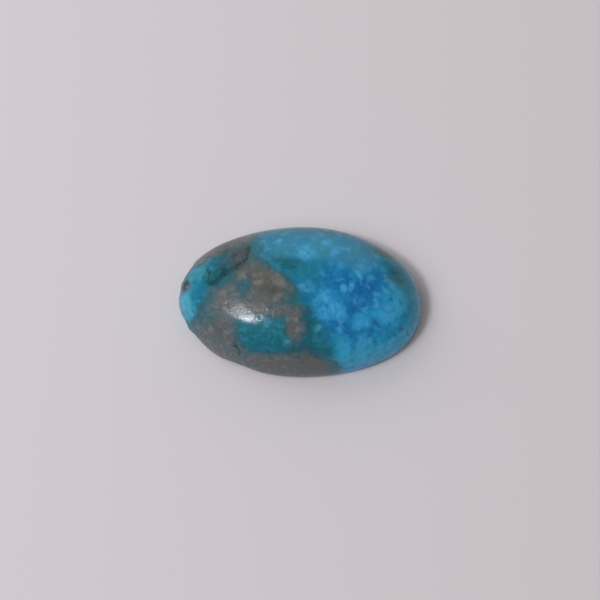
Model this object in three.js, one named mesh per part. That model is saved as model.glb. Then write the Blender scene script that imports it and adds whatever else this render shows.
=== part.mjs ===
// An oval turquoise cabochon: one solid piece of turquoise in its host rock,
// hand-polished to a dome on top and lapped flat on the back.
// Millimetres, +Z up. The origin lies on the flat back, under the middle of the stone.
// +X runs along the stone to its blue end, and -X to its chipped tip.

import * as THREE from "three";

// Driving dimensions
const LENGTH = 26.5; // tip to tip, along X
const WIDTH = 17.1; // across, along Y
const HEIGHT = 7.0; // flat back to crown
const GIRDLE_LOW = 0.7; // where the back bevel ends and the widest band begins
const GIRDLE_HIGH = 1.1; // where the widest band ends and the dome begins
const BACK_SHARE = 0.93; // the flat back's share of the outline, inside the bevel
const DOME_FULLNESS = 2.15; // superellipse exponent of the dome: 2 is an ellipse

// The oval was ground by hand, so its outline waves a little:
// [crests, share of the radius, angle of a crest in degrees].
const OUTLINE_WAVES = [
  [3, 0.005, -138],
  [4, 0.0065, -105],
  [6, 0.0037, 138],
];

// Flat flakes lost from the rim: the way each one's face looks, round the rim and upwards,
// in degrees, and its depth in millimetres.
const FLAKES = [
  { heading: 154, lift: 15, depth: 0.2 },
  { heading: 174, lift: 8, depth: 0.12 },
  { heading: 206, lift: -10, depth: 0.22 },
  { heading: 224, lift: -15, depth: 0.26 },
  { heading: 250, lift: -20, depth: 0.15 },
  { heading: -44, lift: 24, depth: 0.06 },
];

// Fineness of the facets
const AROUND = 128;
const DOME_STEPS = 22;

const radians = THREE.MathUtils.degToRad;

// Half of the stone's section at unit radius, from the middle of the back to the crown.
function section() {
  const points = [
    new THREE.Vector2(0, 0),
    new THREE.Vector2(BACK_SHARE, 0),
    new THREE.Vector2(1, GIRDLE_LOW),
  ];
  const rise = HEIGHT - GIRDLE_HIGH;
  for (let step = 0; step <= DOME_STEPS; step++) {
    const turn = (step / DOME_STEPS) * (Math.PI / 2);
    const radius = step === DOME_STEPS ? 0 : Math.cos(turn) ** (2 / DOME_FULLNESS);
    const height = GIRDLE_HIGH + rise * Math.sin(turn) ** (2 / DOME_FULLNESS);
    points.push(new THREE.Vector2(radius, height));
  }
  return points;
}

// Radius of the hand-cut outline beside a true oval, at an angle round it.
function outlineShare(angle) {
  return OUTLINE_WAVES.reduce(
    (share, [crests, depth, crest]) => share + depth * Math.cos(crests * angle - radians(crest)),
    1,
  );
}

// Stretches the round blank to the waved oval.
function stretch(points) {
  for (const point of points) {
    const angle = Math.atan2(point.y, point.x);
    const share = outlineShare(angle) * Math.hypot(point.x, point.y);
    point.x = (LENGTH / 2) * share * Math.cos(angle);
    point.y = (WIDTH / 2) * share * Math.sin(angle);
  }
}

// Takes one flake off: what lies past its flat face moves level back to the face.
function chip(points, { heading, lift, depth }) {
  const level = new THREE.Vector3(Math.cos(radians(heading)), Math.sin(radians(heading)), 0);
  const facing = level.clone().multiplyScalar(Math.cos(radians(lift)));
  facing.z = Math.sin(radians(lift));
  const face = Math.max(...points.map((point) => point.dot(facing))) - depth;
  for (const point of points) {
    const past = Math.max(point.dot(facing) - face, 0);
    point.addScaledVector(level, -past / Math.cos(radians(lift)));
  }
}

// Brings the chipped stone to its exact length and width, with the origin under its middle.
function trim(points) {
  const box = new THREE.Box3().setFromPoints(points);
  const middle = box.getCenter(new THREE.Vector3());
  const size = box.getSize(new THREE.Vector3());
  for (const point of points) {
    point.x = (point.x - middle.x) * (LENGTH / size.x);
    point.y = (point.y - middle.y) * (WIDTH / size.y);
  }
}

// The section turned about Z, then stretched to the oval, chipped and trimmed.
function cabochon() {
  const geometry = new THREE.LatheGeometry(section(), AROUND);
  geometry.rotateX(Math.PI / 2);
  const position = geometry.getAttribute("position");
  const points = [];
  for (let i = 0; i < position.count; i++) {
    points.push(new THREE.Vector3().fromBufferAttribute(position, i));
  }
  stretch(points);
  FLAKES.forEach((flake) => chip(points, flake));
  trim(points);
  points.forEach((point, i) => position.setXYZ(i, point.x, point.y, point.z));
  geometry.computeVertexNormals();
  return geometry;
}

const polishedTurquoise = new THREE.MeshStandardMaterial({
  color: 0x2f7f9f,
  roughness: 0.3,
  metalness: 0,
});

const stone = new THREE.Mesh(cabochon(), polishedTurquoise);
stone.name = "turquoise_stone";

const turquoiseCabochon = new THREE.Group();
turquoiseCabochon.name = "turquoise_cabochon";
turquoiseCabochon.add(stone);

export default turquoiseCabochon;
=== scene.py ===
"""Looks of an oval turquoise cabochon: a polished stone, blue at one end and rocky at the other.

Sizes in the tables are in millimetres, in the stone's own frame: +X runs to the blue end, +Y to the far
side and +Z up from the flat back. Meshes are made in metres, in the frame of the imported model.
"""

import itertools
import logging
import math
from dataclasses import dataclass
from enum import Enum

import bpy
import numpy as np
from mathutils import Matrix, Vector


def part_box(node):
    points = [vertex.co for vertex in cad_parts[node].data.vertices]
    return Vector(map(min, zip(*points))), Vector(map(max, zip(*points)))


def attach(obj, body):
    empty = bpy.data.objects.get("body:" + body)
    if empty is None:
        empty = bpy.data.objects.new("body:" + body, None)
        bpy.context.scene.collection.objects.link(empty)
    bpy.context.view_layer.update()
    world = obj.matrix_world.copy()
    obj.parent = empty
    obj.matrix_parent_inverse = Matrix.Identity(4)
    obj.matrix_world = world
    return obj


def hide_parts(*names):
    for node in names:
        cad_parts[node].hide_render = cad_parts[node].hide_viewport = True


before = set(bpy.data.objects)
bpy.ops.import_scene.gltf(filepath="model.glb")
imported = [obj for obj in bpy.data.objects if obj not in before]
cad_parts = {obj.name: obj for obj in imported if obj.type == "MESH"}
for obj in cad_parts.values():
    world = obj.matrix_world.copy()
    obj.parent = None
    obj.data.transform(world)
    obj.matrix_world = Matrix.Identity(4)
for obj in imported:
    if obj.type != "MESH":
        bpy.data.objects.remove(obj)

LOG = logging.getLogger("cabochon")
MM = 0.001  # metres in a millimetre
STONE_NODE = "turquoise_stone"


def linear(hex_colour: str) -> tuple[float, float, float, float]:
    """Turns an sRGB colour into the linear one that shaders take.

    Args:
        hex_colour: six hex digits, such as "2b86c4".

    Returns:
        Linear red, green and blue, and an alpha of 1.
    """
    shares = [int(hex_colour[place : place + 2], 16) / 255 for place in (0, 2, 4)]
    red, green, blue = (s / 12.92 if s <= 0.04045 else ((s + 0.055) / 1.055) ** 2.4 for s in shares)
    return red, green, blue, 1.0


def ease(value: np.ndarray, low: float, high: float) -> np.ndarray:
    """Rises smoothly from 0 at low to 1 at high, by the cubic 3t^2 - 2t^3.

    Args:
        value: numbers to ease.
        low: where the rise begins.
        high: where it ends; below low, the curve falls instead.

    Returns:
        Numbers from 0 to 1.
    """
    part = np.clip((value - low) / (high - low), 0.0, 1.0)
    return part * part * (3.0 - 2.0 * part)


class Grain:
    """Smooth seeded noise in space: random slopes on a cubic lattice, blended between its corners."""

    CORNERS = 24  # lattice corners along each side before the noise repeats
    LAYER_SHIFT = 7.31  # keeps the layers' lattice corners apart, in lattice steps
    AXIS_SHIFT = 31.7  # keeps the three ways of a drift apart, in millimetres
    GAIN = 1.5  # brings the noise to about -1 to 1

    def __init__(self, seed: int) -> None:
        """Draws one unit slope for each lattice corner."""
        slopes = np.random.default_rng(seed).normal(size=(self.CORNERS,) * 3 + (3,))
        self.slopes = slopes / np.linalg.norm(slopes, axis=-1, keepdims=True)

    def at(self, points: np.ndarray, size: float, layers: int = 1) -> np.ndarray:
        """Noise of about -1 to 1 at the points.

        Args:
            points: places in millimetres, with x, y and z on the last axis.
            size: width of the widest bumps.
            layers: how many layers are added, each half as wide and half as high as the one before.

        Returns:
            One number for each point.
        """
        total = np.zeros(points.shape[:-1])
        for layer in range(layers):
            shift = self.LAYER_SHIFT * layer
            total += self._layer(points * (2.0**layer / size) + shift) / 2.0**layer
        return self.GAIN * total

    def _layer(self, cells: np.ndarray) -> np.ndarray:
        """One layer: each corner's slope times the way from it, by the quintic weight 6t^5 - 15t^4 + 10t^3.

        Args:
            cells: places counted in lattice steps.

        Returns:
            One number for each place.
        """
        floor = np.floor(cells).astype(int)
        part = cells - floor
        rise = part**3 * (part * (6.0 * part - 15.0) + 10.0)
        total = np.zeros(cells.shape[:-1])
        for corner in itertools.product((0, 1), repeat=3):
            weight = np.where(corner, rise, 1.0 - rise).prod(axis=-1)
            index = (floor + corner) % self.CORNERS
            slope = self.slopes[index[..., 0], index[..., 1], index[..., 2]]
            total += weight * (slope * (part - corner)).sum(axis=-1)
        return total

    def drift(self, points: np.ndarray, size: float, reach: float) -> np.ndarray:
        """Moves the points about, so that a shape drawn on them gets a wandering edge.

        Args:
            points: places in millimetres.
            size: width of a bend in the edge.
            reach: how far a bend goes.

        Returns:
            The moved points.
        """
        ways = [self.at(points + self.AXIS_SHIFT * axis, size, layers=2) for axis in range(3)]
        return points + reach * np.stack(ways, axis=-1)


class Mark(Enum):
    """What shows on the stone. The value names the mesh attribute that holds how much of it there is."""

    ROCK = "rock"
    BROWN = "brown_stain"
    TAN = "tan_grains"
    BRIGHT_AND_PAINTED_LIGHT = "bright_blue_and_painted_light"
    CYAN = "cyan"
    TEAL = "teal"
    SKY = "sky_blue"
    DEEP = "deep_blue"
    PALE = "pale_flecks"
    DARK = "dark_stain"
    # Dark seams, and painted shade on the walls of pits
    SEAM = "dark_seams_and_pit_shade"
    FLECKED = "flecked"
    RAW = "raw_break"
    LAPPED = "lapped_back"


@dataclass(frozen=True)
class Patch:
    """An oval cloud of one mark, placed on the dome as seen from above.

    x and y are its middle, along and across its half sizes, and turn the degrees from +X to the long half.
    strength is how much of the mark it gives, and may be negative to take it away. soft is the width of its
    fading edge as a share of its size, and deep how far it reaches up and down in the stone.
    """

    x: float
    y: float
    along: float
    across: float
    turn: float = 0.0
    strength: float = 1.0
    soft: float = 0.8
    deep: float = 2.5


@dataclass(frozen=True)
class Seam:
    """A dark hairline seam through given points on the dome, with its half width and depth."""

    points: tuple[tuple[float, float], ...]
    half_width: float
    depth: float = 0.03


@dataclass(frozen=True)
class Pit:
    """A small hollow in the dome: its middle, radius and depth."""

    x: float
    y: float
    radius: float
    depth: float


@dataclass(frozen=True)
class Chip:
    """A flat flake lost from the rim: the way its face looks, round the rim and upwards, and its depth."""

    heading: float
    lift: float
    depth: float


PATCHES: dict[Mark, tuple[Patch, ...]] = {
    Mark.ROCK: (
        Patch(-10.4, 4.6, 2.1, 1.3, 36, soft=0.6, deep=6),
        Patch(-8.2, 5.6, 2.0, 1.5, 24, soft=0.6, deep=6),
        Patch(-6.5, 3.2, 1.9, 0.8, 78, 0.75, deep=5),
        Patch(-6.4, 6.4, 1.4, 0.9, 20, 0.6, deep=5),
        Patch(-7.6, 3.2, 1.4, 1.0, 20, 0.35),
        Patch(-5.3, 1.2, 1.9, 1.3, 0, deep=6),
        Patch(-3.4, -0.3, 2.4, 1.7, -18, soft=0.55, deep=7),
        Patch(-4.6, -1.4, 1.6, 1.2, 0, deep=6),
        Patch(-7.9, -1.6, 1.9, 1.5, 10, deep=6),
        Patch(-8.8, -4.5, 2.1, 1.5, -50, soft=0.7, deep=8),
        Patch(-7.7, -6.8, 2.0, 1.1, -32, soft=0.6, deep=8),
        Patch(-8.5, -5.4, 1.7, 1.0, -45, deep=8),
        Patch(-9.7, -5.8, 2.2, 1.2, -42, deep=8),
        Patch(-6.2, -7.9, 2.2, 1.0, -20, deep=8),
        Patch(-6.4, -2.9, 1.9, 1.0, -8, deep=5),
        Patch(-2.0, -8.5, 3.6, 0.9, 0, deep=6),
        Patch(-3.0, -2.9, 2.4, 0.75, -2),
        Patch(-0.4, -4.4, 1.9, 0.85, -80),
        Patch(-3.6, -8.3, 3.4, 1.0, 0, soft=0.6, deep=6),
        Patch(0.9, -8.4, 2.6, 1.1, 3, soft=0.9, deep=5),
        Patch(-6.1, -0.9, 1.1, 0.55, 80, -0.65),
        Patch(9.0, 5.2, 1.4, 0.7, -35, 0.4, deep=4),
        Patch(-12.5, 0.6, 0.55, 0.75, 0, 0.9),
    ),
    Mark.BROWN: (
        Patch(-3.4, -0.6, 2.0, 1.3, -15, 0.8),
        Patch(-4.3, -1.9, 0.8, 0.5, 70, 0.7),
        Patch(1.6, -8.0, 2.0, 0.7, 4, 0.8, deep=4),
        Patch(-9.2, 5.3, 1.8, 0.8, 34, 0.8, deep=4),
        Patch(-2.0, -7.9, 2.2, 0.5, 0, 0.35),
        Patch(-8.4, -1.2, 1.4, 0.9, 20, 0.3),
    ),
    Mark.TAN: (
        Patch(-4.6, 0.2, 0.4, 0.7),
        Patch(-2.3, 0.3, 0.7, 0.45, 20),
        Patch(-2.5, -1.4, 0.6, 0.4, 0, 0.8),
        Patch(-6.3, 0.9, 0.35, 0.6, 0, 0.7),
        Patch(-1.7, 0.1, 0.7, 0.6, -30, 0.8),
        Patch(-10.2, 4.6, 0.7, 0.4, 40, 0.6),
        Patch(-8.2, -1.0, 1.0, 0.6, 30, 0.6),
    ),
    # A brighter blue at the right end, partly its own colour and partly painted light where the lamps leave
    # that end in shade
    Mark.BRIGHT_AND_PAINTED_LIGHT: (
        Patch(10.0, -3.2, 3.6, 2.6, 30, 0.9, deep=6),
        Patch(6.8, -6.4, 4.2, 1.9, 12, 1.0, deep=6),
        Patch(10.2, -4.6, 2.6, 1.6, 42, 0.8, deep=6),
        Patch(11.5, 0.4, 2.0, 3.4, 0, 0.6, deep=6),
        Patch(4.0, -3.4, 3.0, 2.0, 0, 0.3),
    ),
    Mark.CYAN: (
        Patch(-0.4, 4.7, 4.4, 2.6, -6, 0.9),
        Patch(0.8, 1.6, 1.6, 2.2, 0, 0.7),
        Patch(4.6, 5.0, 3.6, 1.9, -16, 0.7),
        Patch(8.4, 4.2, 2.4, 1.4, -32, 0.5),
        Patch(6.6, 2.0, 1.2, 0.9, 0, 0.7),
        Patch(-11.8, 0.4, 1.1, 2.4, 0, 0.9),
        Patch(-10.8, 2.6, 1.0, 0.8, 30, 0.5),
        Patch(6.6, -6.3, 2.2, 1.1, 12, 0.2),
        Patch(11.2, -0.6, 1.2, 2.6, 0, 0.4),
    ),
    Mark.TEAL: (
        Patch(-8.9, 2.2, 2.0, 1.7, 12),
        Patch(-7.0, 4.6, 2.2, 1.2, 15),
        Patch(-9.9, -0.4, 0.8, 1.4, 0, 0.8),
        Patch(-4.0, -5.6, 3.3, 1.9, -3),
        Patch(-1.7, 2.2, 1.8, 0.9, -28, 0.8),
        Patch(-1.0, -2.6, 1.4, 1.0, -20),
        Patch(0.9, -4.2, 2.0, 1.0, -80),
        Patch(0.4, -6.8, 2.6, 0.9, 0),
        Patch(2.9, -6.5, 2.0, 0.8, 5, 0.5),
        Patch(3.4, -8.0, 1.6, 1.0, 0, 0.6, deep=4),
        Patch(10.6, 2.0, 1.7, 1.3, -60, 0.8),
        Patch(-6.1, -0.9, 1.4, 0.8, 78),
        Patch(-10.4, -3.3, 1.0, 1.0, -50, 0.8),
        Patch(-11.2, -4.4, 1.9, 1.0, -55, 0.9, deep=5),
        Patch(-5.0, 4.4, 1.4, 1.0, 80, 0.9),
        Patch(2.4, -5.2, 1.3, 1.0, 0, 0.5),
        Patch(-11.3, -0.2, 1.6, 3.0, 0, 0.5),
        # Teal along the far rim, partly the stone's own colour and partly painted rim shade and reflection
        Patch(1.5, 7.7, 6.5, 1.0, -3, 0.85),
        Patch(1.2, 0.9, 1.4, 1.6, 0, 0.4),
        # This patch and the next take teal to the far right and right rim, partly painted rim shade and
        # reflection
        Patch(8.8, 5.0, 2.6, 1.2, -32, 0.65),
        Patch(12.2, -0.6, 0.8, 1.8, 10, 0.45),
    ),
    Mark.SKY: (
        Patch(-12.6, -1.3, 1.7, 0.8, 84),
        Patch(-11.8, -2.4, 0.9, 0.6, 50, 0.7),
        Patch(-11.6, 1.2, 1.2, 0.6, 80, 0.35),
        Patch(-10.5, 2.0, 1.1, 0.8, 30, 0.7),
    ),
    Mark.DEEP: (
        Patch(2.4, 1.7, 0.9, 0.7),
        Patch(2.7, 3.4, 0.9, 0.5, 80),
        Patch(5.3, -2.9, 0.9, 0.7, 60),
        Patch(7.0, 0.1, 1.8, 1.2, 30, 0.9),
        Patch(6.6, -1.9, 1.2, 0.9),
        Patch(4.6, -4.6, 1.3, 0.8),
        Patch(7.0, -5.0, 1.9, 0.8, 10, 0.8),
        Patch(8.4, -3.7, 0.9, 0.7, 0, 0.8),
        Patch(9.7, -4.2, 1.1, 0.6, 30, 0.6),
        Patch(11.3, -2.6, 0.9, 0.6, 70, 0.4),
        Patch(8.3, -1.4, 0.6, 0.9, 0, 0.7),
        Patch(5.9, -6.0, 0.8, 0.35, 75),
        Patch(5.4, 4.5, 0.8, 0.5, 0, 0.7),
        Patch(3.4, -2.3, 0.6, 0.4),
        Patch(4.3, 0.6, 1.2, 0.8, -30, 0.6),
        Patch(2.3, -5.6, 1.4, 0.8, 0, 0.6),
    ),
    Mark.PALE: (
        Patch(2.7, -1.8, 1.1, 0.8, 75),
        Patch(4.2, -3.0, 1.0, 0.8, -55),
        Patch(2.5, -3.3, 0.9, 0.6, -60, 0.7),
        Patch(5.5, -0.2, 0.9, 0.3, 72, 0.8),
        Patch(9.1, 0.1, 0.5, 0.25, -40),
        Patch(9.6, -2.4, 1.1, 0.8, 15),
        Patch(9.0, -3.2, 0.7, 0.5, 30, 0.7),
        Patch(10.6, -1.9, 0.5, 0.5),
        Patch(5.2, -6.3, 0.8, 0.7, 0, 0.8),
        Patch(6.9, -6.1, 1.0, 0.6, 80, 0.9),
        Patch(6.5, -3.3, 0.5, 0.4, 0, 0.6),
        Patch(2.6, 5.2, 0.6, 0.5),
        Patch(3.6, 4.1, 0.6, 0.4, 60),
        Patch(4.3, 4.7, 0.8, 0.4, 0, 0.7),
        Patch(0.5, 3.6, 1.0, 0.8, 0, 0.8),
        Patch(0.2, 4.4, 0.7, 0.5, 0, 0.6),
        Patch(6.5, 2.2, 0.9, 0.6, 20, 0.7),
        Patch(6.3, 1.4, 0.5, 0.25, -50),
        Patch(0.4, -0.6, 0.7, 0.5, -20, 0.7),
        Patch(-2.5, 1.4, 0.5, 0.35, 0, 0.7),
        Patch(-1.1, -6.4, 0.6, 0.5, 0, 0.5),
        Patch(-3.5, -4.6, 0.7, 0.5, -60, 0.4),
        Patch(-12.0, -2.1, 0.35, 0.25, 0, 0.9),
    ),
    Mark.DARK: (
        Patch(-8.0, 1.7, 1.5, 0.9, 20, 0.5),
        Patch(-9.3, 0.5, 0.9, 0.6, 30, 0.6),
        Patch(-8.3, 1.3, 0.6, 0.5, 0, 0.6),
        Patch(-6.5, 3.7, 1.5, 0.9, 70, 0.55),
        Patch(0.9, -4.4, 1.9, 0.6, -78, 0.55),
        Patch(0.2, -6.9, 2.0, 0.5, 3, 0.5),
        Patch(2.6, -6.6, 1.2, 0.45, 8, 0.15),
        Patch(10.3, 2.0, 1.3, 0.7, -75, 0.3),
        Patch(-8.3, 4.5, 0.9, 0.5, 20, 0.5),
        Patch(-8.8, 2.8, 2.0, 1.2, 15, 0.3),
        Patch(-3.0, -0.8, 0.7, 0.6, 0, 0.3),
        Patch(-9.4, 5.4, 2.6, 0.8, 32, 0.5, deep=4),
        Patch(-1.2, 2.4, 1.0, 0.6, -20, 0.25),
    ),
}

SEAMS: tuple[Seam, ...] = (
    Seam(((-5.8, 4.4), (-6.0, 3.5), (-6.3, 2.5), (-6.9, 2.0)), 0.32),
    Seam(((-10.0, 1.9), (-10.0, 1.1), (-9.7, 0.1)), 0.2),
    Seam(((-9.7, 0.1), (-8.9, 0.7), (-8.2, 1.3)), 0.3),
    Seam(((-6.9, -6.4), (-6.3, -7.0)), 0.2),
)

PITS: tuple[Pit, ...] = (
    Pit(-12.45, 0.6, 0.75, 0.28),
    Pit(-9.7, 0.1, 0.22, 0.1),
    Pit(-8.3, 1.2, 0.2, 0.08),
    Pit(-1.9, -2.05, 0.16, 0.06),
)

CHIPS: tuple[Chip, ...] = (
    Chip(154, 15, 0.2),
    Chip(174, 8, 0.12),
    Chip(206, -10, 0.22),
    Chip(224, -15, 0.26),
    Chip(250, -20, 0.15),
    Chip(-44, 24, 0.06),
)

# Crests, share of the radius, and angle of a crest, of the waves that hand grinding left in the outline.
OUTLINE_WAVES = ((3, 0.005, -138), (4, 0.0065, -105), (6, 0.0037, 138))


@dataclass(frozen=True)
class Chart:
    """An oval in the flat map: its middle, and half its length, in shares of the map's side."""

    x: float
    y: float
    half: float


BAKE_MAP = "OFBake"
DOME_CHART = Chart(0.5, 0.66, 0.49)
BACK_CHART = Chart(0.26, 0.17, 0.24)


def add_node(
    tree: bpy.types.NodeTree, kind: str, inputs: dict[str | int, object] | None = None, **settings: object
) -> bpy.types.Node:
    """Adds one node to a tree.

    Args:
        tree: the material's or world's node tree.
        kind: the node's type name.
        inputs: for each input socket, by name or number, a value or an output socket to link from.
        settings: the node's own properties.

    Returns:
        The new node.
    """
    made = tree.nodes.new(kind)
    for name, value in settings.items():
        setattr(made, name, value)
    for key, value in (inputs or {}).items():
        if isinstance(value, bpy.types.NodeSocket):
            tree.links.new(value, made.inputs[key])
        else:
            made.inputs[key].default_value = value
    return made


@dataclass(frozen=True)
class PolishedTurquoise:
    """Turquoise with its host rock, polished by hand on a felt wheel and lapped matt on the back.

    Turquoise is a fine, almost opaque blue stone that takes a waxy gloss. The rock in it is grainier, so it
    takes less polish, and its grains break up a reflected light. Where a flake broke off, and on the lapped
    back, the stone is matt and shows no highlight. A roughness of two numbers goes from the smoothest spots
    to the dullest.
    """

    blue: str = "0a80c2"
    deep_blue: str = "056ab2"
    # Partly painted light: lifts the right end where the lamps leave it in shade
    bright_blue_and_painted_light: str = "30c8fc"
    pale_blue: str = "46b6ee"
    cyan: str = "2495b2"
    teal: str = "147486"
    soft_teal: str = "2c93a6"
    pale_teal: str = "56a8b4"
    sky_blue: str = "48acc6"
    rock_grey: str = "646969"
    pale_grain: str = "8e8d88"
    brown: str = "69645c"
    tan: str = "87847c"
    dark: str = "17363b"
    ior: float = 1.61
    specular: float = 0.35
    blue_roughness: tuple[float, float] = (0.08, 0.24)
    rock_roughness: float = 0.26
    break_roughness: float = 0.55
    back_roughness: float = 0.6
    blue_bump: float = 0.06
    rock_bump: float = 0.3
    fleck_mm: float = 1.25  # cells that the pale flecks lie in
    fleck_bend_mm: float = 0.8  # how far the cells wander
    mottle_mm: float = 2.2  # clouds in the blue
    fine_mm: float = 0.65  # mottling inside the clouds, and blotches in the rock
    grit_mm: float = 0.28  # the real grain is finer, and this is about the finest that shows
    grit_height_mm: float = 0.06


class StoneMaterial:
    """Builds the stone's node material from its finish and the marks on its mesh."""

    ALL_OVER = 1.0  # amount of a mark that is the same everywhere
    NOISE_LAYERS = {"Detail": 2.0, "Roughness": 0.5}  # two finer layers in each noise, each half as strong
    FLECK_SMOOTHNESS = 0.6  # how far neighbouring cells melt together
    FLECK_BEGINS = 0.6  # distance from a cell's middle where its fleck begins, in cells
    FLECK_FULL = 0.1  # distance from a cell's middle where its fleck is full, in cells

    def __init__(self, finish: PolishedTurquoise) -> None:
        """Starts the material with the mesh's marks and the noises that every layer shares."""
        self.finish = finish
        self.material = bpy.data.materials.new("polished_turquoise_in_host_rock")
        self.material.use_nodes = True
        self.tree = self.material.node_tree
        self.tree.nodes.clear()
        self.marks = {
            mark: self.add("ShaderNodeAttribute", attribute_name=mark.value).outputs["Fac"] for mark in Mark
        }
        place = self.add("ShaderNodeTexCoord").outputs["Object"]
        self.place = self.add("ShaderNodeMapping", {"Vector": place, "Scale": (1 / MM,) * 3}).outputs[0]
        self.mottle = self.noises(finish.mottle_mm)
        self.fine = self.noises(finish.fine_mm)
        self.grit = self.noises(finish.grit_mm)

    def add(
        self, kind: str, inputs: dict[str | int, object] | None = None, **settings: object
    ) -> bpy.types.Node:
        """Adds one node to the stone's material, as add_node does."""
        return add_node(self.tree, kind, inputs, **settings)

    def noises(self, size: float) -> bpy.types.bpy_prop_collection:
        """Three noises about 0.5 that don't follow each other.

        Args:
            size: width of the widest bumps, in millimetres.

        Returns:
            One output socket for each noise.
        """
        settings = {"Vector": self.place, "Scale": 1 / size, **self.NOISE_LAYERS}
        noise = self.add("ShaderNodeTexNoise", settings).outputs["Color"]
        return self.add("ShaderNodeSeparateColor", {"Color": noise}).outputs

    def cover(
        self,
        amount: bpy.types.NodeSocket | float,
        noise: bpy.types.NodeSocket,
        waver: float,
        low: float,
        high: float,
    ) -> bpy.types.NodeSocket:
        """How much of a mark covers each spot: its amount, made more or less by noise, from low to high.

        Args:
            amount: the mark's amount, from the mesh or the same all over.
            noise: a noise about 0.5.
            waver: how much the noise changes the amount.
            low: the changed amount where the mark begins.
            high: the changed amount where it covers all.

        Returns:
            The cover, from 0 to 1.
        """
        parts = {0: noise, 1: waver, 2: 1 - waver / 2}
        share = self.add("ShaderNodeMath", parts, operation="MULTIPLY_ADD").outputs[0]
        changed = self.add("ShaderNodeMath", {0: amount, 1: share}, operation="MULTIPLY").outputs[0]
        limits = {"Value": changed, "From Min": low, "From Max": high}
        return self.add("ShaderNodeMapRange", limits).outputs[0]

    def lay(
        self,
        ground: str | bpy.types.NodeSocket,
        *layers: tuple[str | bpy.types.NodeSocket, bpy.types.NodeSocket],
    ) -> bpy.types.NodeSocket:
        """Lays colours over a ground colour, one after another.

        Args:
            ground: the colour below, in hex or from a socket.
            layers: a colour and its cover for each layer.

        Returns:
            The mixed colour.
        """
        below = linear(ground) if isinstance(ground, str) else ground
        for colour, cover in layers:
            above = linear(colour) if isinstance(colour, str) else colour
            below = self.add("ShaderNodeMix", {0: cover, 6: below, 7: above}, data_type="RGBA").outputs[2]
        return below

    def flecks(self) -> bpy.types.NodeSocket:
        """Pale flecks: the listed ones, and the middles of wandering cells where the mottle is high.

        Returns:
            The amount of fleck.
        """
        bend = self.add("ShaderNodeCombineXYZ", {way: self.fine[way] for way in range(3)}).outputs[0]
        bent = self.add(
            "ShaderNodeVectorMath",
            {0: bend, 1: (self.finish.fleck_bend_mm,) * 3, 2: self.place},
            operation="MULTIPLY_ADD",
        ).outputs[0]
        cells = self.add(
            "ShaderNodeTexVoronoi",
            {"Vector": bent, "Scale": 1 / self.finish.fleck_mm, "Smoothness": self.FLECK_SMOOTHNESS},
            feature="SMOOTH_F1",
        ).outputs["Distance"]
        middles = self.add(
            "ShaderNodeMapRange",
            {"Value": cells, "From Min": self.FLECK_BEGINS, "From Max": self.FLECK_FULL},
            interpolation_type="SMOOTHSTEP",
        ).outputs[0]
        some = self.cover(self.marks[Mark.FLECKED], self.mottle[0], waver=3.0, low=0.1, high=1.1)
        middles = self.add("ShaderNodeMath", {0: middles, 1: some}, operation="MULTIPLY").outputs[0]
        placed = {0: middles, 1: self.marks[Mark.PALE]}
        return self.add("ShaderNodeMath", placed, operation="MAXIMUM").outputs[0]

    def colour(self) -> bpy.types.NodeSocket:
        """Lays the blues and teal over each other, then the rock over them, then what is dark.

        Returns:
            The stone's colour.
        """
        finish, marks, mottle, fine, grit = self.finish, self.marks, self.mottle, self.fine, self.grit
        teal = self.cover(marks[Mark.TEAL], mottle[1], waver=1.2, low=0.0, high=0.8)
        fleck = self.lay(finish.pale_blue, (finish.pale_teal, teal))
        mottling = self.lay(finish.cyan, (finish.soft_teal, teal))
        turquoise = self.lay(
            finish.blue,
            # A brighter end, partly its own colour and partly painted light where the lamps leave it in
            # shade, deep blue clouds, and smaller deep blue blotches all over
            (finish.bright_blue_and_painted_light, marks[Mark.BRIGHT_AND_PAINTED_LIGHT]),
            (finish.deep_blue, self.cover(marks[Mark.DEEP], fine[1], waver=2.0, low=0.0, high=1.2)),
            (finish.deep_blue, self.cover(self.ALL_OVER, fine[0], waver=-3.0, low=0.9, high=1.9)),
            # Greener parts, from cyan clouds to teal beside the rock, and teal on the rim that is painted
            # rim shade and reflection
            (finish.cyan, self.cover(marks[Mark.CYAN], mottle[2], waver=1.6, low=0.0, high=1.0)),
            (finish.teal, teal),
            (finish.dark, self.cover(teal, fine[1], waver=-3.0, low=0.9, high=3.2)),
            (mottling, self.cover(self.ALL_OVER, fine[2], waver=3.0, low=0.9, high=2.1)),
            # A light blue tip, pale flecks, and pale and dark specks
            (finish.sky_blue, self.cover(marks[Mark.SKY], fine[1], waver=3.0, low=0.1, high=1.2)),
            (fleck, self.cover(self.flecks(), fine[2], waver=3.0, low=0.1, high=1.3)),
            (fleck, self.cover(self.ALL_OVER, grit[1], waver=3.0, low=1.1, high=4.0)),
            (finish.dark, self.cover(self.ALL_OVER, grit[0], waver=-3.0, low=1.1, high=4.0)),
        )
        rock = self.lay(
            finish.rock_grey,
            # Paler grains, a breath of teal, and brown and tan stains
            (finish.pale_grain, self.cover(self.ALL_OVER, fine[1], waver=2.6, low=1.0, high=2.0)),
            (finish.teal, self.cover(self.ALL_OVER, mottle[0], waver=3.0, low=0.95, high=3.0)),
            (finish.brown, self.cover(marks[Mark.BROWN], fine[2], waver=2.4, low=0.1, high=1.2)),
            (finish.tan, self.cover(marks[Mark.TAN], fine[0], waver=2.0, low=0.1, high=1.4)),
            # Dark blotches and specks between the grains
            (finish.dark, self.cover(self.ALL_OVER, fine[0], waver=-3.0, low=1.1, high=3.2)),
            (finish.dark, self.cover(self.ALL_OVER, grit[0], waver=-3.0, low=1.1, high=3.2)),
        )
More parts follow.
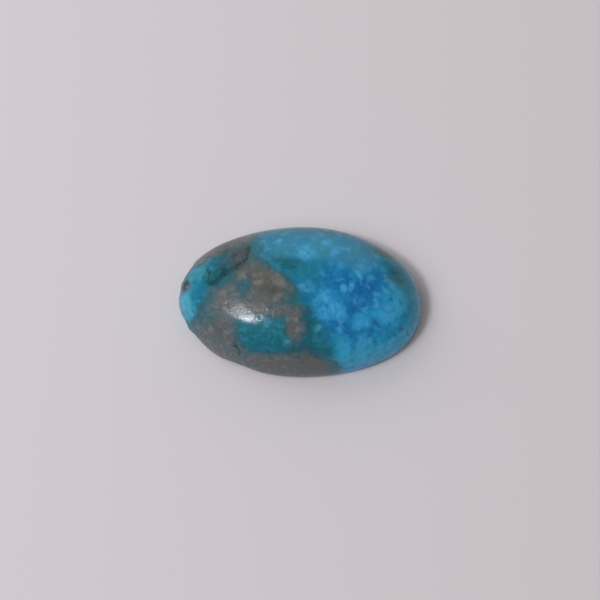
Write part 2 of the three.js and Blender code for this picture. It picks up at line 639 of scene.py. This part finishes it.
        return self.lay(
            turquoise,
            # Rock with ragged edges, dark stains beside it, dark hairline seams, and painted shade on the
            # walls of pits
            (rock, self.cover(marks[Mark.ROCK], fine[0], waver=1.3, low=0.02, high=0.85)),
            (finish.dark, self.cover(marks[Mark.DARK], fine[2], waver=2.6, low=0.0, high=1.3)),
            (finish.dark, self.cover(marks[Mark.SEAM], grit[1], waver=3.4, low=0.25, high=1.5)),
        )

    def roughness(self) -> bpy.types.NodeSocket:
        """Waxy gloss on the blue, a duller rock, and matt breaks and back.

        Returns:
            The roughness.
        """
        smoothest, dullest = self.finish.blue_roughness
        limits = {"Value": self.fine[0], "To Min": smoothest, "To Max": dullest}
        rough = self.add("ShaderNodeMapRange", limits).outputs[0]
        duller = {
            Mark.ROCK: self.finish.rock_roughness,
            Mark.RAW: self.finish.break_roughness,
            Mark.LAPPED: self.finish.back_roughness,
        }
        for mark, value in duller.items():
            rough = self.add("ShaderNodeMix", {0: self.marks[mark], 2: rough, 3: value}).outputs[0]
        return rough

    def bump(self) -> bpy.types.NodeSocket:
        """Grain finer than the mesh: the rock's grit, and a faint ripple on the blue.

        Returns:
            The bent normal.
        """
        finish = self.finish
        limits = {"Value": self.marks[Mark.ROCK], "To Min": finish.blue_bump, "To Max": finish.rock_bump}
        strength = self.add("ShaderNodeMapRange", limits).outputs[0]
        height = {"Strength": strength, "Distance": finish.grit_height_mm * MM, "Height": self.grit[2]}
        return self.add("ShaderNodeBump", height).outputs[0]

    def build(self) -> bpy.types.Material:
        """Joins colour, roughness and bump in one shader.

        Returns:
            The finished material.
        """
        shader = self.add(
            "ShaderNodeBsdfPrincipled",
            {
                "Base Color": self.colour(),
                "Roughness": self.roughness(),
                "IOR": self.finish.ior,
                "Specular IOR Level": self.finish.specular,
                "Normal": self.bump(),
            },
        )
        self.add("ShaderNodeOutputMaterial", {"Surface": shader.outputs[0]})
        return self.material


@dataclass
class Cabochon:
    """The stone: a domed oval with a rounded rim and a flat back, ground and polished by hand.

    Sizes are in millimetres. The outline is an oval with small waves. Along each radius the section is a
    superellipse arc from the crown to the rim, a tighter one under the rim, and a straight line to the
    middle of the back. A bend is given by its width and reach, a wave of the surface by its height and
    width, and a span by where its rise begins and ends.
    """

    SECTION_STEPS = 4001  # close points that each part of the section is measured along
    CHIP_RIPPLE = (0.35, 1.1)  # share of a flake's depth that its face waves by, and the waves' width
    CHIP_EDGE_SPAN = (0.0, 0.05)  # depth of a flake over which its face turns raw
    WIDE_BEND = (2.6, 0.45)
    MIDDLE_BEND = (1.0, 0.3)
    CLOSE_BEND = (0.8, 0.15)
    SEAM_BEND = (0.8, 0.2)
    SEAM_HEIGHT_SPAN = (0.5, 1.5)  # heights over which a seam comes up, so that none marks the back
    SEAM_FADE_SPAN = (1.6, 0.3)  # shares of its half width over which a seam darkens
    PIT_LIP_SPAN = (1.25, 0.8)  # shares of its radius over which painted shade on a pit's wall darkens from outside
    PIT_FLOOR_SPAN = (0.15, 0.6)  # shares of its radius over which that painted shade darkens from the middle
    GREEN_MOST = 0.8  # amount of teal in the green half
    GREEN_BEND_WIDTH = 3.0
    GREEN_SPAN = (3.2, -1.5)  # places along the stone over which it turns green
    RIM_SHADE_TEAL = 0.2  # least teal at the rim, painted there as rim shade and reflection
    RIM_SHADE_SPAN = (0.75, 1.0)  # shares of the outline over which that painted rim shade comes in
    HALO_SPAN = (0.0, 0.25)  # amounts of rock over which the stone beside it turns teal
    HALO_TEAL = 0.9
    HALO_DARK = 0.25
    HALO_DARK_SPAN = (0.8, 0.3)  # amounts of rock over which the dark line at its edge comes
    FEWER_FLECKS_IN_TEAL = 0.8
    FEWER_FLECKS_IN_CYAN = 0.4
    LAPPED_SPAN = (0.5, 0.02)  # heights over which the polish gives way to the lapped back
    SLOW_WAVE = (0.035, 5.0)
    ROCK_GRAIN = (0.008, 0.5)
    ROCK_HOLLOW = (0.02, 0.7)
    ROCK_HOLLOW_SPAN = (0.35, 0.75)  # noise over which a hollow sinks
    ROCK_HOLLOW_SHIFT = 50.0  # keeps the hollows' noise apart from the grains'
    ROCK_WEAR = 0.02  # how much lower than the blue the rock was worn

    length: float
    width: float
    height: float
    rim_height: float = 1.1
    back_share: float = 0.93
    fullness: float = 2.15
    edge_fullness: float = 2.4
    around: int = 640
    dome_rings: int = 112
    edge_rings: int = 10
    back_rings: int = 28

    def __post_init__(self) -> None:
        """Starts the stone's noises, each with its own seed."""
        self.bends = Grain(11)
        self.wear = Grain(23)

    @property
    def rise(self) -> float:
        """Height of the dome above the rim."""
        return self.height - self.rim_height

    def dome_height(self, x: np.ndarray | float, y: np.ndarray | float) -> np.ndarray:
        """Height of the dome above a point of the plan: rim height plus rise times (1 - r^n)^(1/n).

        Args:
            x: place along the stone.
            y: place across it.

        Returns:
            The height, which is the rim's outside the oval.
        """
        share = np.minimum(np.hypot(x / (self.length / 2), y / (self.width / 2)), 1.0)
        return self.rim_height + self.rise * (1.0 - share**self.fullness) ** (1.0 / self.fullness)

    def section(self) -> tuple[np.ndarray, np.ndarray]:
        """The section from the crown, over the rim, to the middle of the back, evenly spaced in each part.

        Returns:
            Each ring's share of the outline's radius, and its height.
        """
        turn = np.linspace(0.0, math.pi / 2, self.SECTION_STEPS)
        power = 2.0 / self.fullness
        edge_power = 2.0 / self.edge_fullness
        under = 1.0 - self.back_share
        stretches = (
            (np.sin(turn) ** power, self.rim_height + self.rise * np.cos(turn) ** power, self.dome_rings),
            (
                self.back_share + under * np.cos(turn) ** edge_power,
                self.rim_height * (1.0 - np.sin(turn) ** edge_power),
                self.edge_rings,
            ),
            (self.back_share * (1.0 - turn / turn[-1]), np.zeros_like(turn), self.back_rings),
        )
        shares, heights = [np.zeros(1)], [np.full(1, self.height)]
        radius = (self.length + self.width) / 4
        for share, height, rings in stretches:
            steps = np.hypot(np.diff(share) * radius, np.diff(height))
            way = np.concatenate(([0.0], np.cumsum(steps)))
            stops = np.linspace(0.0, way[-1], rings + 1)[1:]
            shares.append(np.interp(stops, way, share))
            heights.append(np.interp(stops, way, height))
        return np.concatenate(shares), np.concatenate(heights)

    def blank(self) -> np.ndarray:
        """The ground blank: the section carried round the waved oval.

        Returns:
            Points in millimetres, ring by ring from the crown to the middle of the back.
        """
        share, height = self.section()
        angle = np.arange(self.around) * (2.0 * math.pi / self.around)
        waved = np.ones_like(angle)
        for crests, depth, crest in OUTLINE_WAVES:
            waved += depth * np.cos(crests * angle - math.radians(crest))
        x = np.outer(share, self.length / 2 * waved * np.cos(angle))
        y = np.outer(share, self.width / 2 * waved * np.sin(angle))
        z = np.repeat(height[:, None], self.around, axis=1)
        return np.stack((x, y, z), axis=-1)

    def chipped(self, points: np.ndarray) -> tuple[np.ndarray, np.ndarray]:
        """Takes the flakes off: what lies past a flake's plane moves level back to it.

        Args:
            points: the blank.

        Returns:
            The chipped points, and how raw each is, from 0 to 1.
        """
        raw = np.zeros(points.shape[:2])
        ripple_share, ripple_width = self.CHIP_RIPPLE
        ripple = 1.0 + ripple_share * self.wear.at(points, ripple_width, layers=2)
        for chip in CHIPS:
            heading, lift = math.radians(chip.heading), math.radians(chip.lift)
            level = np.array((math.cos(heading), math.sin(heading), 0.0))
            facing = level * math.cos(lift) + np.array((0.0, 0.0, math.sin(lift)))
            reach = points @ facing
            past = np.maximum(reach - reach.max() + chip.depth * ripple, 0.0)
            points = points - (past / math.cos(lift))[..., None] * level
            raw = np.maximum(raw, ease(past, *self.CHIP_EDGE_SPAN))
        return points, raw

    def facing(self, points: np.ndarray) -> np.ndarray:
        """Outward directions: the cross product of the steps along a radius and round a ring.

        Args:
            points: rings of points.

        Returns:
            A unit vector for each point, straight up at the crown and straight down on the back's middle.
        """
        outward = np.gradient(points, axis=0)
        onward = np.roll(points, -1, axis=1) - np.roll(points, 1, axis=1)
        normal = np.cross(outward, onward)
        normal[0] = (0.0, 0.0, 1.0)
        normal[-1] = (0.0, 0.0, -1.0)
        return normal / np.linalg.norm(normal, axis=-1, keepdims=True)

    def cover(self, points: np.ndarray, patches: tuple[Patch, ...]) -> np.ndarray:
        """Joins oval patches: each fades over its edge, and the rest that one leaves is shared by the next.

        Args:
            points: where to look, in millimetres.
            patches: the mark's patches, in order.

        Returns:
            How much of the mark is at each point, from 0 to 1.
        """
        total = np.zeros(points.shape[:-1])
        for patch in patches:
            turn = math.radians(patch.turn)
            x, y = points[..., 0] - patch.x, points[..., 1] - patch.y
            along = (x * math.cos(turn) + y * math.sin(turn)) / patch.along
            across = (y * math.cos(turn) - x * math.sin(turn)) / patch.across
            up = (points[..., 2] - self.dome_height(patch.x, patch.y)) / patch.deep
            away = np.sqrt(along**2 + across**2 + up**2)
            amount = abs(patch.strength) * ease(away, 1.0 + patch.soft, 1.0 - patch.soft)
            total = total * (1.0 - amount) if patch.strength < 0 else total + (1.0 - total) * amount
        return total

    def seams(self, points: np.ndarray) -> tuple[np.ndarray, np.ndarray]:
        """Draws the dark seams: the nearest way to each stretch of a seam, eased over its half width.

        Args:
            points: where to look, in millimetres.

        Returns:
            How dark each point is, from 0 to 1, and how deep the seam cuts there.
        """
        dark = np.zeros(points.shape[:-1])
        cut = np.zeros(points.shape[:-1])
        on_top = ease(points[..., 2], *self.SEAM_HEIGHT_SPAN)
        begins, full = self.SEAM_FADE_SPAN
        for seam in SEAMS:
            for start, end in itertools.pairwise(seam.points):
                base, way = np.array(start), np.array(end) - np.array(start)
                offset = points[..., :2] - base
                part = np.clip(offset @ way / (way @ way), 0.0, 1.0)
                gap = np.linalg.norm(offset - part[..., None] * way, axis=-1)
                line = on_top * ease(gap, begins * seam.half_width, full * seam.half_width)
                dark = np.maximum(dark, line)
                cut = np.maximum(cut, seam.depth * line)
        return dark, cut

    def pits(self, points: np.ndarray) -> tuple[np.ndarray, np.ndarray]:
        """Sinks the pits: a bowl of depth (1 - d^2)^2 at a share d of the radius, with painted shade on
        their walls.

        Args:
            points: where to look, in millimetres.

        Returns:
            How deep each point sinks, and how much painted shade it gets down a pit's wall, from 0 to 1.
        """
        sunk = np.zeros(points.shape[:-1])
        pit_wall_shade = np.zeros(points.shape[:-1])
        for pit in PITS:
            middle = np.array((pit.x, pit.y, self.dome_height(pit.x, pit.y)))
            away = np.linalg.norm(points - middle, axis=-1) / pit.radius
            bowl = np.clip(1.0 - away**2, 0.0, 1.0) ** 2
            sunk = np.maximum(sunk, pit.depth * bowl)
            # Painted shade on the pit's wall
            pit_wall_shade = np.maximum(pit_wall_shade, ease(away, *self.PIT_LIP_SPAN) * ease(away, *self.PIT_FLOOR_SPAN))
        return sunk, pit_wall_shade

    def marked(self, points: np.ndarray) -> dict[Mark, np.ndarray]:
        """Works out every mark but the breaks and seams.

        Patches are drawn on wandering points. One half of the stone turns greener, the rim takes teal as
        painted rim shade and reflection, and the rock gets a teal halo with a dark line in it.

        Args:
            points: the stone's points.

        Returns:
            Each mark's amount at each point.
        """
        wide = self.bends.drift(self.bends.drift(points, *self.WIDE_BEND), *self.MIDDLE_BEND)
        close = self.bends.drift(points, *self.CLOSE_BEND)
        marks = {
            mark: self.cover(close if mark in (Mark.PALE, Mark.DEEP) else wide, patches)
            for mark, patches in PATCHES.items()
        }
        rock, cyan = marks[Mark.ROCK], marks[Mark.CYAN]
        rim = np.hypot(points[..., 0] / (self.length / 2), points[..., 1] / (self.width / 2))
        along = points[..., 0] + self.bends.at(points, self.GREEN_BEND_WIDTH)
        green_half = self.GREEN_MOST * ease(along, *self.GREEN_SPAN) * (1.0 - cyan)
        # Teal painted on the rim as rim shade and reflection
        painted_rim_shade = self.RIM_SHADE_TEAL * ease(rim, *self.RIM_SHADE_SPAN)
        halo = ease(rock, *self.HALO_SPAN)
        teal = np.maximum.reduce((marks[Mark.TEAL], green_half, painted_rim_shade, self.HALO_TEAL * halo))
        line = self.HALO_DARK * halo * ease(rock, *self.HALO_DARK_SPAN)
        marks[Mark.TEAL] = teal
        marks[Mark.DARK] = np.maximum(marks[Mark.DARK], line)
        flecked = (1.0 - self.FEWER_FLECKS_IN_TEAL * teal) * (1.0 - self.FEWER_FLECKS_IN_CYAN * cyan)
        marks[Mark.FLECKED] = flecked
        marks[Mark.LAPPED] = ease(points[..., 2], *self.LAPPED_SPAN)
        return marks

    def build(self) -> bpy.types.Object:
        """Makes the stone's mesh, with its marks as attributes and its own map for baking.

        Returns:
            The stone, in metres, in the frame's place.
        """
        points, raw = self.chipped(self.blank())
        marks = self.marked(points)
        marks[Mark.RAW] = raw
        dark, cut = self.seams(self.bends.drift(points, *self.SEAM_BEND))
        sunk, pit_wall_shade = self.pits(points)
        # The dark seams and the painted shade on the pits' walls share one mark
        marks[Mark.SEAM] = np.maximum(dark, pit_wall_shade)
        relief = self.relief(points, marks[Mark.ROCK]) - cut - sunk
        top = 1.0 - marks[Mark.LAPPED]
        points = points + (top * relief)[..., None] * self.facing(points)
        points = self.fitted(points)
        return self.mesh_object(points, marks)

    def relief(self, points: np.ndarray, rock: np.ndarray) -> np.ndarray:
        """How far the polish left the surface from the blank: slow waves, and rock worn lower and grainy.

        Args:
            points: the stone's points.
            rock: how much rock is at each.

        Returns:
            Millimetres outward.
        """
        slow_height, slow_width = self.SLOW_WAVE
        grain_height, grain_width = self.ROCK_GRAIN
        hollow_depth, hollow_width = self.ROCK_HOLLOW
        slow = slow_height * self.wear.at(points, slow_width)
        grains = grain_height * self.wear.at(points, grain_width, layers=2)
        sinking = self.wear.at(points + self.ROCK_HOLLOW_SHIFT, hollow_width, layers=2)
        hollows = hollow_depth * ease(sinking, *self.ROCK_HOLLOW_SPAN)
        return slow + rock * (grains - hollows - self.ROCK_WEAR)

    def fitted(self, points: np.ndarray) -> np.ndarray:
        """Stretches the points to the stone's exact length, width and height, on its middle.

        Args:
            points: the stone's points.

        Returns:
            Points whose bounds are the stone's.
        """
        low, high = points.min(axis=(0, 1)), points.max(axis=(0, 1))
        size = np.array((self.length, self.width, self.height))
        middle = np.array(((low[0] + high[0]) / 2, (low[1] + high[1]) / 2, low[2]))
        return (points - middle) * size / (high - low)

    def mesh_object(self, points: np.ndarray, marks: dict[Mark, np.ndarray]) -> bpy.types.Object:
        """Puts rings of points into a closed mesh: quads between rings, and a fan at each end.

        Args:
            points: rings of points, the first and last drawn together.
            marks: each mark's amount at each point.

        Returns:
            The stone.
        """
        rings = len(points) - 2
        last = 1 + rings * self.around
        column = np.arange(self.around)
        after = np.roll(column, -1)
        start = 1 + self.around * np.arange(rings - 1)[:, None]
        below = start + self.around
        quads = np.stack((start + column, below + column, below + after, start + after), axis=-1)
        end = last - self.around
        crown = np.stack((np.zeros_like(column), 1 + column, 1 + after), axis=-1)
        back = np.stack((np.full_like(column, last), end + after, end + column), axis=-1)
        faces = [*crown.tolist(), *quads.reshape(-1, 4).tolist(), *back.tolist()]
        mesh = bpy.data.meshes.new(STONE_NODE)
        mesh.from_pydata(self.gather(points) * MM, [], faces)
        mesh.polygons.foreach_set("use_smooth", np.ones(len(mesh.polygons), dtype=bool))
        for mark, amount in marks.items():
            values = mesh.attributes.new(mark.value, "FLOAT", "POINT").data
            values.foreach_set("value", self.gather(amount).astype(np.float32))
        self.flatten(mesh, points)
        mesh.update()
        stone = bpy.data.objects.new("polished_turquoise_stone", mesh)
        bpy.context.scene.collection.objects.link(stone)
        return stone

    def flatten(self, mesh: bpy.types.Mesh, points: np.ndarray) -> None:
        """Gives the mesh a flat map: one oval for dome and rim, and a smaller one for the back.

        A point keeps its angle round the stone. Its way out from the middle of its oval is its way along
        the section from the crown, or from the middle of the back.

        Args:
            mesh: the stone's mesh.
            points: the rings of points that it was made from.
        """
        steps = np.linalg.norm(np.diff(points, axis=0), axis=-1).mean(axis=1)
        way = np.concatenate(([0.0], np.cumsum(steps)))
        edge = self.dome_rings + self.edge_rings
        angle = np.arange(self.around) * (2.0 * math.pi / self.around)
        flat = self.width / self.length
        from_back = way[-1] - way
        ovals = []
        for chart, out in ((DOME_CHART, way / way[edge]), (BACK_CHART, from_back / from_back[edge])):
            u = chart.x + chart.half * np.outer(out, np.cos(angle))
            v = chart.y + chart.half * flat * np.outer(out, np.sin(angle))
            ovals.append(self.gather(np.stack((u, v), axis=-1)))
        corners = np.zeros(len(mesh.loops), dtype=np.int32)
        mesh.loops.foreach_get("vertex_index", corners)
        # The faces come in order: the crown's fan, the quads down to the back's edge, and then the back
        dome_corners = 3 * self.around + 4 * self.around * (edge - 1)
        on_dome = np.arange(len(mesh.loops)) < dome_corners
        places = np.where(on_dome[:, None], ovals[0][corners], ovals[1][corners])
        chart_map = mesh.uv_layers.new(name=BAKE_MAP)
        chart_map.uv.foreach_set("vector", places.astype(np.float32).ravel())

    def gather(self, grid: np.ndarray) -> np.ndarray:
        """Lists a grid's values vertex by vertex, with one for the crown and one for the back's middle."""
        inner = grid[1:-1].reshape((-1,) + grid.shape[2:])
        return np.concatenate((grid[:1, 0], inner, grid[-1:, 0]))


@dataclass(frozen=True)
class Lamp:
    """A square soft light: the way to it from the stone, its distance, size and power, and its colour.

    A mirrored lamp shows in the stone's gloss, and the others only light it.
    """

    name: str
    way: tuple[float, float, float]
    distance: float
    size: float
    watts: float
    colour: str = "f4f6ff"
    mirrored: bool = True


LAMPS: tuple[Lamp, ...] = (
    Lamp("key", (-0.43, -0.27, 0.86), 600.0, 90.0, 0.8),
    Lamp("window", (-0.53, -0.14, 0.84), 600.0, 90.0, 0.16),
    Lamp("soft", (-0.5, -0.3, 0.81), 600.0, 420.0, 0.95, mirrored=False),
    Lamp("side", (-0.66, 0.42, 0.58), 300.0, 220.0, 0.2, mirrored=False),
    Lamp("back", (0.05, 0.94, 0.33), 700.0, 640.0, 0.6, "fff0e2"),
    Lamp("right", (0.85, 0.5, 0.25), 700.0, 400.0, 0.15, "fff0e2"),
)


@dataclass(frozen=True)
class Studio:
    """A plain pale floor under soft light from the left, and a camera that looks steeply down."""

    floor_colour: str = "eae6e8"
    floor_roughness: float = 0.9
    floor_specular: float = 0.2
    floor_half_mm: float = 3000.0
    sky_colour: str = "fff1e6"
    sky_strength: float = 0.21
    azimuth: float = 2.3
    elevation: float = 68.0
    lens_mm: float = 360.0
    camera_distance_mm: float = 656.0
    aim_above_mm: float = 0.28
    aim_height_mm: float = 1.1

    def floor(self) -> bpy.types.Object:
        """Lays the floor, a square of four corners at the height of the stone's back.

        Returns:
            The floor.
        """
        corners = np.array(((-1, -1, 0), (1, -1, 0), (1, 1, 0), (-1, 1, 0))) * self.floor_half_mm * MM
        mesh = bpy.data.meshes.new("floor")
        mesh.from_pydata(corners, [], [(0, 1, 2, 3)])
        material = bpy.data.materials.new("pale_matt_floor")
        material.use_nodes = True
        shader = material.node_tree.nodes["Principled BSDF"]
        shader.inputs["Base Color"].default_value = linear(self.floor_colour)
        shader.inputs["Roughness"].default_value = self.floor_roughness
        shader.inputs["Specular IOR Level"].default_value = self.floor_specular
        mesh.materials.append(material)
        floor = bpy.data.objects.new("floor", mesh)
        bpy.context.scene.collection.objects.link(floor)
        return floor

    def light(self) -> None:
        """Hangs the soft lights and sets the even light of the room."""
        for lamp in LAMPS:
            data = bpy.data.lights.new(lamp.name, "AREA")
            data.size = lamp.size * MM
            data.energy = lamp.watts
            data.color = linear(lamp.colour)[:3]
            way = Vector(lamp.way).normalized()
            light = bpy.data.objects.new(lamp.name, data)
            light.location = way * lamp.distance * MM
            light.rotation_euler = way.to_track_quat("Z", "Y").to_euler()
            light.visible_camera = False
            light.visible_glossy = lamp.mirrored
            bpy.context.scene.collection.objects.link(light)
        world = bpy.data.worlds.new("room")
        world.use_nodes = True
        room = world.node_tree.nodes["Background"]
        room.inputs["Color"].default_value = linear(self.sky_colour)
        room.inputs["Strength"].default_value = self.sky_strength
        bpy.context.scene.world = world

    def camera(self) -> bpy.types.Object:
        """Sets the camera at its angle, aimed so that the stone sits where it should in the picture.

        Returns:
            The camera.
        """
        turn, rise = math.radians(self.azimuth), math.radians(self.elevation)
        back = Vector((math.sin(turn) * math.cos(rise), -math.cos(turn) * math.cos(rise), math.sin(rise)))
        facing = (-back).to_track_quat("-Z", "Y")
        above = facing @ Vector((0.0, 1.0, 0.0))
        target = Vector((0.0, 0.0, self.aim_height_mm)) + above * self.aim_above_mm
        data = bpy.data.cameras.new("camera")
        data.lens = self.lens_mm
        camera = bpy.data.objects.new("camera", data)
        camera.location = (target + back * self.camera_distance_mm) * MM
        camera.rotation_euler = facing.to_euler()
        bpy.context.scene.collection.objects.link(camera)
        bpy.context.scene.camera = camera
        return camera


def main() -> None:
    """Builds the stone and its studio, and reports each piece."""
    logging.basicConfig(level=logging.INFO)
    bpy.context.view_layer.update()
    low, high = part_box(STONE_NODE)
    size = (high - low) / MM
    stone = Cabochon(size.x, size.y, size.z).build()
    stone.data.materials.append(StoneMaterial(PolishedTurquoise()).build())
    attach(stone, "root")
    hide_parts(STONE_NODE)
    LOG.info("%s: %d vertices, %d faces", stone.name, len(stone.data.vertices), len(stone.data.polygons))
    studio = Studio()
    floor = studio.floor()
    studio.light()
    camera = studio.camera()
    bpy.context.scene.view_settings.view_transform = "Standard"
    LOG.info("%s and %s set", floor.name, camera.name)


if __name__ == "__main__":
    main()
